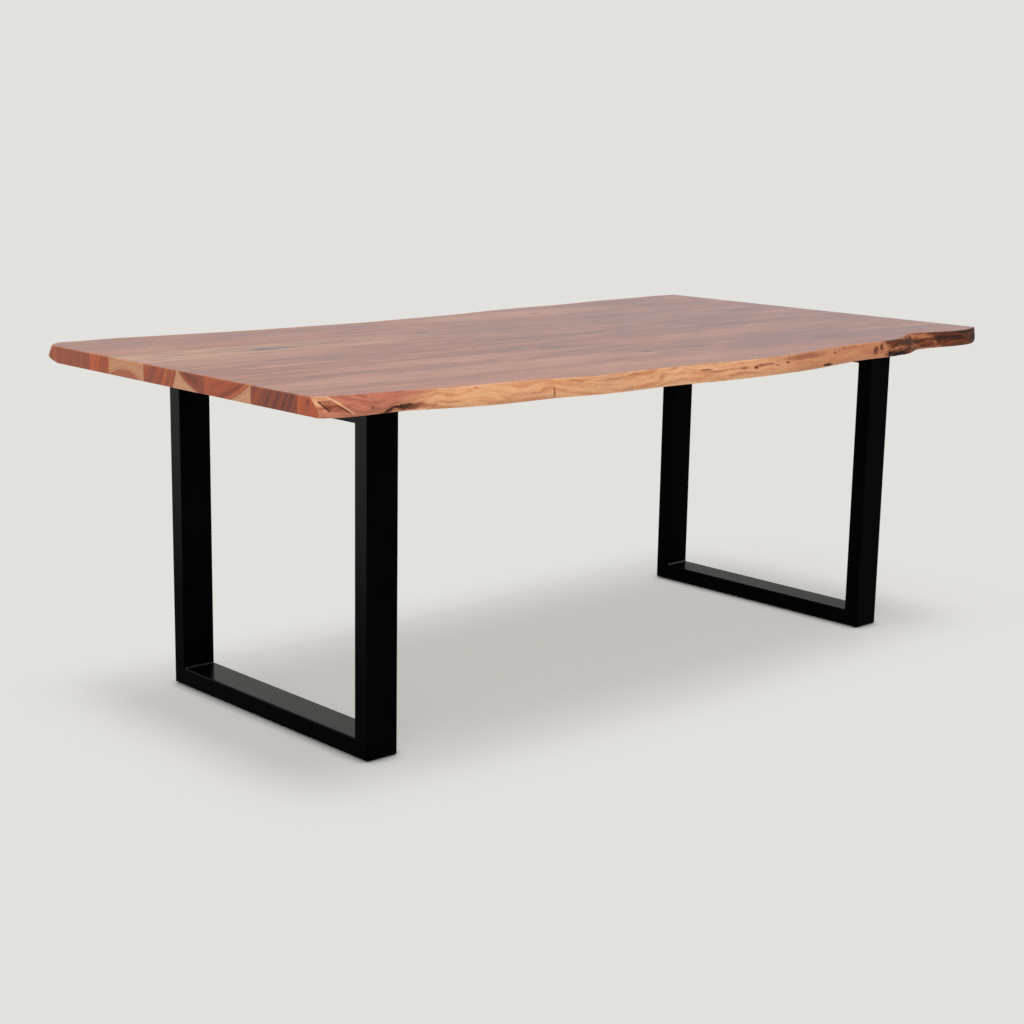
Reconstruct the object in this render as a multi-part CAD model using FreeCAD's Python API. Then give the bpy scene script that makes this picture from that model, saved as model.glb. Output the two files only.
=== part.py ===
import FreeCAD, Part
import os

# Live edge dining table. Seven boards glued edge to edge make the top. The rear and the front board keep the
# natural edge of the tree. Two closed frames of rectangular steel tube carry the top on bolts.
# Millimetres, +X along the table to the right, +Y to the rear, +Z up.
# The origin is on the floor, under the middle of the top.

# Top
TOP_LENGTH = 2155.0
TOP_THICKNESS = 38.0
REAR_BOARD_WIDTH = 287.0
INNER_BOARD_WIDTHS = (80.0, 139.0, 205.0, 185.0, 152.0)
FRONT_BOARD_WIDTH = 172.0
SAWN_ARRIS = 2.0

# Natural edges. Each point is a place along the length, from 0 at the left end to 1 at the right end, how far
# the widest line of the edge lies there inside the furthest point of that edge, and how far the upper arris
# lies inside the widest line. The first and the last point lie past the sawn ends.
REAR_EDGE = (
    (-0.03, 160.0, 8.0), (0.0, 101.0, 8.0), (0.012, 71.0, 8.0), (0.035, 63.0, 12.0),
    (0.07, 62.0, 16.0), (0.125, 69.0, 16.0), (0.185, 84.0, 16.0), (0.245, 97.0, 16.0),
    (0.31, 101.0, 16.0), (0.41, 108.0, 16.0), (0.49, 96.0, 16.0), (0.57, 82.0, 16.0),
    (0.62, 63.0, 16.0), (0.71, 45.0, 16.0), (0.76, 40.0, 16.0), (0.86, 14.0, 16.0),
    (0.91, 10.0, 16.0), (0.96, 0.0, 16.0), (1.0, 5.0, 16.0), (1.03, 12.0, 16.0),
)
FRONT_EDGE = (
    (-0.03, 140.0, 26.0), (0.0, 105.0, 26.0), (0.012, 92.0, 26.0), (0.045, 82.0, 20.0),
    (0.085, 82.0, 6.0), (0.12, 63.0, 12.0), (0.16, 42.0, 24.0), (0.20, 34.0, 27.0),
    (0.255, 31.0, 14.0), (0.30, 16.0, 8.0), (0.36, 14.0, 14.0), (0.43, 11.0, 13.0),
    (0.48, 1.0, 16.0), (0.56, 0.0, 12.0), (0.61, 7.0, 17.0), (0.66, 23.0, 18.0),
    (0.745, 49.0, 12.0), (0.785, 48.0, 11.0), (0.84, 72.0, 24.0), (0.86, 92.0, 29.0),
    (0.90, 99.0, 14.0), (0.98, 100.0, 5.0), (1.0, 122.0, 4.0), (1.03, 165.0, 4.0),
)
REAR_WIDEST_HEIGHT = 13.0
FRONT_WIDEST_HEIGHT = 9.0
REAR_UNDERCUT = 40.0
FRONT_UNDERCUT = 3.0
LIVE_ARRIS = 2.5
# Heights at which the natural edge is drawn, as shares of the thickness, past both faces
EDGE_LEVELS = (-0.06, 0.0, 0.08, 0.17, 0.28, 0.45, 0.63, 0.8, 0.93, 0.97, 1.0, 1.04)
LEAN_POWER = 1.25
UNDERCUT_POWER = 2.0

# Frames of rectangular tube, with the wide side of the tube along the table
TUBE_WIDTH = 80.0
TUBE_DEPTH = 40.0
TUBE_WALL = 2.0
TUBE_CORNER = 3.0
TUBE_INNER_CORNER = 1.0
FRAME_WIDTH = 710.0
FRAME_HEIGHT = 728.0
LEFT_OVERHANG = 172.0
RIGHT_OVERHANG = 288.0
FRAME_OFFSET = -75.0
WELD_LEG = 4.0
WELD_CROWN = 0.6

# Glides under the foot rails
GLIDE_DIAMETER = 30.0
GLIDE_HEIGHT = 3.0
GLIDE_BEVEL = 0.8
GLIDE_STEM_DIAMETER = 10.0
GLIDE_STEM_REACH = 5.0
GLIDE_INSET = 50.0

# Fixings between the top rails and the boards
BOLT_COUNT = 4
BOLT_INSET = 70.0
BOLT_DIAMETER = 8.0
BOLT_LENGTH = 20.0
HEAD_FLATS = 13.0
HEAD_HEIGHT = 5.3
WASHER_DIAMETER = 24.0
WASHER_THICKNESS = 2.0
WASHER_CLEARANCE = 0.2
SLOT_LENGTH = 20.0
SLOT_CLEARANCE = 0.5
ACCESS_CLEARANCE = 1.0
INSERT_DIAMETER = 12.0
INSERT_LENGTH = 18.0
INSERT_RELIEF = 2.0

Vector = FreeCAD.Vector
CUT_MARGIN = 5.0

# Worked out from the sizes above
TOP_WIDTH = REAR_BOARD_WIDTH + sum(INNER_BOARD_WIDTHS) + FRONT_BOARD_WIDTH
UNDERSIDE = GLIDE_HEIGHT + FRAME_HEIGHT
FRAME_PLACES = {
    "left": -TOP_LENGTH / 2 + LEFT_OVERHANG + TUBE_WIDTH / 2,
    "right": TOP_LENGTH / 2 - RIGHT_OVERHANG - TUBE_WIDTH / 2,
}
FIRST_BOLT = FRAME_OFFSET - FRAME_WIDTH / 2 + BOLT_INSET
BOLT_SPACING = (FRAME_WIDTH - 2 * BOLT_INSET) / (BOLT_COUNT - 1)
BOLT_PLACES = [FIRST_BOLT + number * BOLT_SPACING for number in range(BOLT_COUNT)]
BOLT_SEAT = UNDERSIDE - TUBE_WALL - WASHER_THICKNESS
BOLT_TIP = BOLT_SEAT + BOLT_LENGTH
GLIDE_PLACES = [FRAME_OFFSET + side * (FRAME_WIDTH / 2 - GLIDE_INSET) for side in (-1, 1)]


def rounded_bar(width, length, depth, radius):
    """A bar along Y, centred in X and Y, standing on Z = 0, with its four long arrises rounded."""
    bar = Part.makeBox(width, length, depth, Vector(-width / 2, -length / 2, 0))
    long_arrises = [edge for edge in bar.Edges if abs(edge.tangentAt(edge.FirstParameter).y) > 0.99]
    return bar.makeFillet(radius, long_arrises)


def cylinder(diameter, height, x, y, z):
    """An upright cylinder that stands at a height."""
    return Part.makeCylinder(diameter / 2, height, Vector(x, y, z))


def board_blank(front, rear):
    """A sawn board between two planes across the width, full length, with its end arrises eased."""
    blank = rounded_bar(TOP_LENGTH, rear - front, TOP_THICKNESS, SAWN_ARRIS)
    blank.translate(Vector(0, (front + rear) / 2, UNDERSIDE))
    return blank


def edge_inset(height, lean, widest_height, undercut):
    """How far the natural edge lies inside its widest line, at a height over the underside."""
    inset = 0.0
    if height > widest_height:
        inset += lean * ((height - widest_height) / (TOP_THICKNESS - widest_height)) ** LEAN_POWER
    else:
        inset += undercut * ((widest_height - height) / widest_height) ** UNDERCUT_POWER
    arris_start = TOP_THICKNESS - LIVE_ARRIS
    if height > arris_start:
        inset += LIVE_ARRIS * ((height - arris_start) / LIVE_ARRIS) ** 2
    return inset


def outside_of_edge(side, edge, widest_height, undercut):
    """The space outside a natural edge. side is 1 at the rear and -1 at the front."""
    wires = []
    for level in EDGE_LEVELS:
        height = level * TOP_THICKNESS
        points = []
        for place, depth, lean in edge:
            x = (place - 0.5) * TOP_LENGTH
            inset = depth + edge_inset(height, lean, widest_height, undercut)
            points.append(Vector(x, side * (TOP_WIDTH / 2 - inset), UNDERSIDE + height))
        curve = Part.BSplineCurve()
        curve.interpolate(Points=points, Parameters=[point[0] for point in edge])
        wires.append(Part.Wire(curve.toShape()))
    natural_face = Part.makeLoft(wires, False, False).Faces[0]
    reach = max(point[1] for point in edge) + TOP_THICKNESS + undercut + CUT_MARGIN
    return natural_face.extrude(Vector(0, side * reach, 0))


def fixing_holes():
    """Blind holes in the underside of the top for the threaded inserts of both frames."""
    depth = max(INSERT_LENGTH, BOLT_TIP - UNDERSIDE) + INSERT_RELIEF
    holes = []
    for x in FRAME_PLACES.values():
        holes += [cylinder(INSERT_DIAMETER, depth, x, y, UNDERSIDE) for y in BOLT_PLACES]
    return holes


def top_boards():
    """The seven boards, from the rear to the front."""
    boards = {}
    rear_line = TOP_WIDTH / 2
    joint = rear_line - REAR_BOARD_WIDTH
    rear_waste = outside_of_edge(1, REAR_EDGE, REAR_WIDEST_HEIGHT, REAR_UNDERCUT)
    boards["rear_live_edge_board"] = board_blank(joint, rear_line + CUT_MARGIN).cut(rear_waste)
    for number, width in enumerate(INNER_BOARD_WIDTHS, start=2):
        boards["top_board_%d" % number] = board_blank(joint - width, joint)
        joint -= width
    front_line = joint - FRONT_BOARD_WIDTH
    front_waste = outside_of_edge(-1, FRONT_EDGE, FRONT_WIDEST_HEIGHT, FRONT_UNDERCUT)
    boards["front_live_edge_board"] = board_blank(front_line - CUT_MARGIN, joint).cut(front_waste)
    holes = fixing_holes()
    return {name: board.cut(holes) for name, board in boards.items()}


def mitred_tube(length):
    """A tube along Y, its long side on Z = 0, both ends cut at 45 degrees."""
    outside = rounded_bar(TUBE_WIDTH, length, TUBE_DEPTH, TUBE_CORNER)
    inside = rounded_bar(TUBE_WIDTH - 2 * TUBE_WALL, length, TUBE_DEPTH - 2 * TUBE_WALL, TUBE_INNER_CORNER)
    inside.translate(Vector(0, 0, TUBE_WALL))
    long_half = length / 2
    short_half = long_half - TUBE_DEPTH
    corners = [(-long_half, 0), (long_half, 0), (short_half, TUBE_DEPTH), (-short_half, TUBE_DEPTH)]
    outline = Part.makePolygon([Vector(-TUBE_WIDTH / 2, y, z) for y, z in corners + corners[:1]])
    mitres = Part.Face(outline).extrude(Vector(TUBE_WIDTH, 0, 0))
    return outside.cut(inside).common(mitres)


def placed_tube(length, turn, x, y, z):
    """A mitred tube turned about X, with the middle of its long side at a point."""
    tube = mitred_tube(length)
    tube.rotate(Vector(0, 0, 0), Vector(1, 0, 0), turn)
    tube.translate(Vector(x, y, z))
    return tube


def rail_slot(x, y):
    """A slot through the upper wall of a top rail, along the rail, so that the top can swell and shrink."""
    width = BOLT_DIAMETER + 2 * SLOT_CLEARANCE
    straight = SLOT_LENGTH - width
    floor = UNDERSIDE - TUBE_WALL
    slot = Part.makeBox(width, straight, TUBE_WALL, Vector(x - width / 2, y - straight / 2, floor))
    ends = [cylinder(width, TUBE_WALL, x, y + side * straight / 2, floor) for side in (-1, 1)]
    return slot.fuse(ends).removeSplitter()


def top_rail(x):
    """The upper tube of a frame, with a slot for each bolt and an access hole below it."""
    rail = placed_tube(FRAME_WIDTH, 180, x, FRAME_OFFSET, UNDERSIDE)
    access = WASHER_DIAMETER + 2 * ACCESS_CLEARANCE
    openings = []
    for y in BOLT_PLACES:
        openings.append(rail_slot(x, y))
        openings.append(cylinder(access, TUBE_WALL, x, y, UNDERSIDE - TUBE_DEPTH))
    return rail.cut(openings)


def foot_rail(x):
    """The lower tube of a frame, drilled for the stems of the glides."""
    rail = placed_tube(FRAME_WIDTH, 0, x, FRAME_OFFSET, GLIDE_HEIGHT)
    return rail.cut([cylinder(GLIDE_STEM_DIAMETER, TUBE_WALL, x, y, GLIDE_HEIGHT) for y in GLIDE_PLACES])


def corner_welds(x):
    """A fillet weld in each of the four inner corners of a frame, slightly crowned."""
    length = TUBE_WIDTH - 2 * TUBE_CORNER
    start = x - length / 2
    middle = WELD_LEG / 2 + WELD_CROWN
    beads = []
    for side in (-1, 1):
        for z, up in ((GLIDE_HEIGHT + TUBE_DEPTH, 1), (UNDERSIDE - TUBE_DEPTH, -1)):
            y = FRAME_OFFSET + side * (FRAME_WIDTH / 2 - TUBE_DEPTH)
            root = Vector(start, y, z)
            foot = Vector(start, y - side * WELD_LEG, z)
            crown = Vector(start, y - side * middle, z + up * middle)
            head = Vector(start, y, z + up * WELD_LEG)
            skin = Part.Arc(foot, crown, head).toShape()
            outline = Part.Wire([Part.makeLine(root, foot), skin, Part.makeLine(head, root)])
            beads.append(Part.Face(outline).extrude(Vector(length, 0, 0)))
    return Part.makeCompound(beads)


def glides(x):
    """Push-in glides: a bevelled disc under the foot rail and a stem through its lower wall."""
    made = []
    for y in GLIDE_PLACES:
        foot = cylinder(GLIDE_DIAMETER, GLIDE_HEIGHT, x, y, 0)
        low_rim = [edge for edge in foot.Edges if edge.BoundBox.ZMax < GLIDE_HEIGHT / 2]
        stem = cylinder(GLIDE_STEM_DIAMETER, TUBE_WALL + GLIDE_STEM_REACH, x, y, GLIDE_HEIGHT)
        made.append(foot.makeChamfer(GLIDE_BEVEL, low_rim).fuse(stem))
    return Part.makeCompound(made)


def hexagon(flats, height, x, y, z):
    """An upright hexagonal prism."""
    radius = flats / 3 ** 0.5
    turns = [Vector(radius, 0, 0)]
    for _ in range(6):
        turns.append(FreeCAD.Rotation(Vector(0, 0, 1), 60).multVec(turns[-1]))
    prism = Part.Face(Part.makePolygon(turns[:6] + turns[:1])).extrude(Vector(0, 0, height))
    prism.translate(Vector(x, y, z))
    return prism


def top_bolts(x):
    """Hexagon bolts with their heads inside the top rail, screwed up into the inserts."""
    made = []
    for y in BOLT_PLACES:
        head = hexagon(HEAD_FLATS, HEAD_HEIGHT, x, y, BOLT_SEAT - HEAD_HEIGHT)
        made.append(head.fuse(cylinder(BOLT_DIAMETER, BOLT_LENGTH, x, y, BOLT_SEAT)))
    return Part.makeCompound(made)


def bolt_washers(x):
    """Wide washers between the bolt heads and the slotted wall."""
    hole = BOLT_DIAMETER + 2 * WASHER_CLEARANCE
    made = []
    for y in BOLT_PLACES:
        disc = cylinder(WASHER_DIAMETER, WASHER_THICKNESS, x, y, BOLT_SEAT)
        made.append(disc.cut(cylinder(hole, WASHER_THICKNESS, x, y, BOLT_SEAT)))
    return Part.makeCompound(made)


def threaded_inserts(x):
    """Inserts pressed flush into the underside of the top, threaded for the bolts."""
    made = []
    for y in BOLT_PLACES:
        body = cylinder(INSERT_DIAMETER, INSERT_LENGTH, x, y, UNDERSIDE)
        made.append(body.cut(cylinder(BOLT_DIAMETER, INSERT_LENGTH, x, y, UNDERSIDE)))
    return Part.makeCompound(made)


def frame(x):
    """One leg frame with its glides and the fixings that hold the top on it."""
    middle = GLIDE_HEIGHT + FRAME_HEIGHT / 2
    half = FRAME_WIDTH / 2
    return {
        "foot_rail": foot_rail(x),
        "top_rail": top_rail(x),
        "front_upright": placed_tube(FRAME_HEIGHT, -90, x, FRAME_OFFSET - half, middle),
        "rear_upright": placed_tube(FRAME_HEIGHT, 90, x, FRAME_OFFSET + half, middle),
        "corner_welds": corner_welds(x),
        "glides": glides(x),
        "top_bolts": top_bolts(x),
        "bolt_washers": bolt_washers(x),
        "threaded_inserts": threaded_inserts(x),
    }


nodes = top_boards()
for side_name, frame_x in FRAME_PLACES.items():
    for piece_name, piece in frame(frame_x).items():
        nodes["%s_%s" % (side_name, piece_name)] = piece

os.makedirs("parts", exist_ok=True)
for node_name, shape in nodes.items():
    shape.exportStep("parts/%s.step" % node_name)
    print(node_name, len(shape.Solids), "solid(s)", round(shape.Volume), "mm3, valid", shape.isValid())
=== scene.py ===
"""Live edge dining table: seven glued boards with natural edges on two welded black steel frames.

Metres, +Z up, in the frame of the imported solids. The long side runs along X and the front edge faces -Y.
"""

import logging
import math
from collections.abc import Mapping
from dataclasses import dataclass
from enum import Enum
from functools import reduce

import bmesh
import bpy
import numpy as np
from mathutils import Matrix, Vector


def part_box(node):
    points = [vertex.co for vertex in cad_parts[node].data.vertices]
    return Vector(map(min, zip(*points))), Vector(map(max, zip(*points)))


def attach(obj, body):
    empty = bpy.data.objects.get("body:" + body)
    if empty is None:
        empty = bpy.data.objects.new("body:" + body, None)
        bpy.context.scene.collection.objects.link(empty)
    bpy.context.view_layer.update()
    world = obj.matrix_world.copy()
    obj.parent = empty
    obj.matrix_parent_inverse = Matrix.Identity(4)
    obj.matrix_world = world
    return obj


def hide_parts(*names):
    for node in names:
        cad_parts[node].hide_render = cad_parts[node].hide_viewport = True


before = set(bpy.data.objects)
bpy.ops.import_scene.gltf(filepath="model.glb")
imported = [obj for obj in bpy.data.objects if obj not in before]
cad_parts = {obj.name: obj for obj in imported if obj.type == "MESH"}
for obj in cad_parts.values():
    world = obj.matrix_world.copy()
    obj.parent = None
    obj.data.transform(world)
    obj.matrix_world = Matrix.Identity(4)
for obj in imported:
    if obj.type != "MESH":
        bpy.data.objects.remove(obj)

log = logging.getLogger("dining_table")

Array = np.ndarray
Colour = tuple[float, float, float]
Term = "Shade | float | tuple[float, ...]"
Settings = Mapping[str, object]
Sockets = Mapping[str | int, object]

# The top's length and height come from its middle board.
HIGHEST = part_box("top_board_4")[1]
HALF_LENGTH = round(HIGHEST.x, 4)
TOP_FACE = round(HIGHEST.z, 4)


class Side(Enum):
    """The two welded frames."""

    LEFT = "left"
    RIGHT = "right"


class Edge(Enum):
    """The two natural edges, by the way they face along Y."""

    REAR = 1.0
    FRONT = -1.0


class MarkKind(Enum):
    """What can be found on a natural edge."""

    KNOT = "knot"
    BARK = "bark"
    CRACK = "crack"
    STAIN = "stain"
    SHADE = "shade"


def paint(red: int, green: int, blue: int) -> Colour:
    """Turns a colour as it looks on a screen into light.

    Args:
        red: Red, 0 to 255.
        green: Green, 0 to 255.
        blue: Blue, 0 to 255.

    Returns:
        The same colour in linear light, 0 to 1.
    """
    shares = [c / 255 for c in (red, green, blue)]
    r, g, b = [c / 12.92 if c <= 0.04045 else ((c + 0.055) / 1.055) ** 2.4 for c in shares]
    return (r, g, b)


class Shade:
    """A node's output with Python's operators: each one adds the node that works it out."""

    def __init__(self, book: "NodeBook", socket: bpy.types.NodeSocket) -> None:
        """Wraps one output of a book's node tree."""
        self.book = book
        self.socket = socket

    @property
    def many(self) -> bool:
        """True for a vector or a colour."""
        return self.socket.type in {"VECTOR", "RGBA"}

    def _join(self, operation: str, first: Term, second: Term) -> "Shade":
        """Adds a Math node, or a Vector Math node where a side is a vector or a colour.

        Args:
            operation: The node's operation.
            first: Left side.
            second: Right side.

        Returns:
            The result.
        """
        sides = (first, second)
        many = any(isinstance(s, tuple) or (isinstance(s, Shade) and s.many) for s in sides)
        kind = "ShaderNodeVectorMath" if many else "ShaderNodeMath"
        return self.book.add(kind, {"operation": operation}, {0: first, 1: second})

    def __add__(self, other: Term) -> "Shade":
        """This plus other."""
        return self._join("ADD", self, other)

    def __radd__(self, other: Term) -> "Shade":
        """Other plus this."""
        return self._join("ADD", other, self)

    def __sub__(self, other: Term) -> "Shade":
        """This less other."""
        return self._join("SUBTRACT", self, other)

    def __rsub__(self, other: Term) -> "Shade":
        """Other less this."""
        return self._join("SUBTRACT", other, self)

    def __mul__(self, other: Term) -> "Shade":
        """This times other."""
        return self._join("MULTIPLY", self, other)

    def __rmul__(self, other: Term) -> "Shade":
        """Other times this."""
        return self._join("MULTIPLY", other, self)

    def __truediv__(self, other: Term) -> "Shade":
        """This over other."""
        return self._join("DIVIDE", self, other)

    def __rtruediv__(self, other: Term) -> "Shade":
        """Other over this."""
        return self._join("DIVIDE", other, self)

    def __pow__(self, power: float) -> "Shade":
        """This to a power."""
        return self._join("POWER", self, power)

    def __abs__(self) -> "Shade":
        """This without its sign."""
        return self.book.add("ShaderNodeMath", {"operation": "ABSOLUTE"}, {0: self})

    def least(self, other: Term) -> "Shade":
        """The smaller of the two."""
        return self._join("MINIMUM", self, other)

    def most(self, other: Term) -> "Shade":
        """The larger of the two."""
        return self._join("MAXIMUM", self, other)

    def fraction(self) -> "Shade":
        """What is left over a whole number."""
        return self.book.add("ShaderNodeMath", {"operation": "FRACT"}, {0: self})

    def step(self, start: float, end: float) -> "Shade":
        """A smooth step from 0 to 1.

        Args:
            start: Where it leaves 0.
            end: Where it reaches 1; below start for a step that falls.

        Returns:
            The step, from 0 to 1.
        """
        low, high = min(start, end), max(start, end)
        rise = self.book.add(
            "ShaderNodeMapRange",
            {"interpolation_type": "SMOOTHSTEP"},
            {"Value": self, "From Min": low, "From Max": high, "To Min": 0.0, "To Max": 1.0},
        )
        return rise if end >= start else 1.0 - rise


class NodeBook:
    """One node tree, as a page that shader expressions are written on."""

    def __init__(self, tree: bpy.types.NodeTree) -> None:
        """Takes the node tree of a material or a world, and empties it."""
        self.tree = tree
        self.tree.nodes.clear()

    def node(self, kind: str, settings: Settings | None, sockets: Sockets | None) -> bpy.types.Node:
        """Makes any node.

        Args:
            kind: The node's type.
            settings: Its own settings, set first.
            sockets: Numbers, colours, vectors or shades for its inputs.

        Returns:
            The node.
        """
        node = self.tree.nodes.new(kind)
        for name, value in (settings or {}).items():
            setattr(node, name, value)
        for key, value in (sockets or {}).items():
            self._feed(node.inputs[key], value)
        return node

    def add(
        self, kind: str, settings: Settings | None = None, sockets: Sockets | None = None, out: str | int = 0
    ) -> Shade:
        """Makes any node and hands back one of its outputs."""
        return Shade(self, self.node(kind, settings, sockets).outputs[out])

    def _feed(self, socket: bpy.types.NodeSocket, value: object) -> None:
        """Links a shade to an input, or sets the input's own number, vector or colour.

        Args:
            socket: The input.
            value: What goes in.
        """
        if isinstance(value, Shade):
            self.tree.links.new(value.socket, socket)
        elif socket.type == "RGBA":
            socket.default_value = (*value, 1.0)
        elif socket.type == "VECTOR" and isinstance(value, (int, float)):
            socket.default_value = (value, value, value)
        else:
            socket.default_value = value

    def noise(self, where: Shade, detail: float, rough: float = 0.5, out: int = 0) -> Shade:
        """Soft noise around 0.5 in scaled coordinates, with its finer layers; out 1 gives a vector."""
        sockets = {"Vector": where, "Scale": 1.0, "Detail": detail, "Roughness": rough}
        return self.add("ShaderNodeTexNoise", {"noise_dimensions": "3D"}, sockets, out)

    def drift(self, where: Shade, detail: float) -> Shade:
        """Three soft noises at once, around 0.5, as a vector."""
        return self.noise(where, detail, out=1)

    def mix(self, share: Term, first: object, second: object) -> Shade:
        """Mixes two colours: the first at a share of 0, the second at 1."""
        settings = {"data_type": "RGBA", "clamp_factor": True}
        return self.add("ShaderNodeMix", settings, {0: share, 6: first, 7: second}, out=2)

    def layers(self, colour: object, *over: tuple[Term, object]) -> Shade:
        """Lays colours over a first one, one after the other, each by its share."""
        return reduce(lambda below, layer: self.mix(layer[0], below, layer[1]), over, colour)

    def split(self, vector: Shade) -> tuple[Shade, Shade, Shade]:
        """Takes a vector apart into its X, Y and Z."""
        x, y, z = self.node("ShaderNodeSeparateXYZ", None, {0: vector}).outputs
        return (Shade(self, x), Shade(self, y), Shade(self, z))

    def join(self, x: Term, y: Term, z: Term) -> Shade:
        """Puts a vector together from its X, Y and Z."""
        return self.add("ShaderNodeCombineXYZ", None, {0: x, 1: y, 2: z})

    def coordinates(self) -> Shade:
        """Object coordinates."""
        return self.add("ShaderNodeTexCoord", out="Object")

    def attribute(self, name: str) -> Shade:
        """A number kept on the mesh under this name."""
        return self.add("ShaderNodeAttribute", {"attribute_name": name}, out="Fac")

    def relief(self, height: Shade, strength: float, depth: float) -> Shade:
        """A normal bumped by a height of 0 to 1, where 1 stands for a depth in metres."""
        return self.add("ShaderNodeBump", None, {"Strength": strength, "Distance": depth, "Height": height})

    def to_eye(self) -> Shade:
        """1 for what the camera sees directly, in a shiny face or through glass, else 0."""
        outputs = self.node("ShaderNodeLightPath", None, None).outputs
        names = ("Is Camera Ray", "Is Glossy Ray", "Is Transmission Ray")
        return reduce(Shade.most, [Shade(self, outputs[name]) for name in names])

    def end(self, kind: str, shader: Shade) -> None:
        """Ends the tree with an output node for its last shader."""
        self.node(kind, None, {"Surface": shader})

    def surface(self, sockets: Sockets) -> None:
        """Ends a material with a surface shader and what goes into it."""
        self.end("ShaderNodeOutputMaterial", self.add("ShaderNodeBsdfPrincipled", None, sockets))


def new_material(name: str) -> tuple[bpy.types.Material, NodeBook]:
    """Makes an empty material.

    Args:
        name: Its name.

    Returns:
        The material and the page of its nodes.
    """
    material = bpy.data.materials.new(name)
    material.use_nodes = True
    return material, NodeBook(material.node_tree)


def diagonal(across: Shade, up: Shade) -> Shade:
    """Length of the line across two sides."""
    return (across**2.0 + up**2.0) ** 0.5


@dataclass(frozen=True)
class Zone:
    """A zone between two growth rings: its middle and half its width beyond the heart's edge, and its tone.

    The tone is the share of the dark colour, or below 0 the share of the glowing one.
    """

    middle: float
    half: float
    tone: float


@dataclass(frozen=True)
class Heart:
    """Heartwood round a pith line that runs along X: the pith's place, how far it reaches, and its zones."""

    y: float
    z: float
    reach: float
    zones: tuple[Zone, ...] = ()

    def off(self, y: Shade, z: Shade) -> Shade:
        """Distance from the pith line."""
        return diagonal(y - self.y, z - self.z)


@dataclass(frozen=True)
class Streak:
    """A long soft streak in a board's face: its middle, half its length and width, and its share of grey.

    Below 0 the share is one of tan.
    """

    x: float
    y: float
    length: float
    width: float
    share: float


@dataclass(frozen=True)
class Knot:
    """A knot through a board: its middle, half its width, and how many times as long as wide it is."""

    x: float
    y: float
    half: float
    stretch: float = 1.7


@dataclass(frozen=True)
class LiveSkin:
    """Colours of a natural edge, where the bark came off."""

    gold: Colour = paint(224, 166, 122)
    orange: Colour = paint(204, 136, 92)
    pale: Colour = paint(238, 190, 150)
    brown: Colour = paint(160, 98, 64)
    amber: Colour = paint(186, 112, 68)
    rose: Colour = paint(194, 118, 92)
    russet: Colour = paint(134, 62, 46)
    ember: Colour = paint(128, 64, 34)
    umber: Colour = paint(48, 24, 16)
    bark: Colour = paint(24, 14, 10)
    crust: Colour = paint(88, 54, 36)


@dataclass(frozen=True)
class FaceTone:
    """Colours that all boards share along the grain, under the lacquer."""

    warm: Colour = paint(153, 87, 65)
    cool: Colour = paint(134, 80, 75)
    grey: Colour = paint(82, 43, 54)
    tan: Colour = paint(196, 130, 102)
    knot: Colour = paint(74, 38, 28)
    knot_ring: Colour = paint(40, 22, 18)


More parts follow.
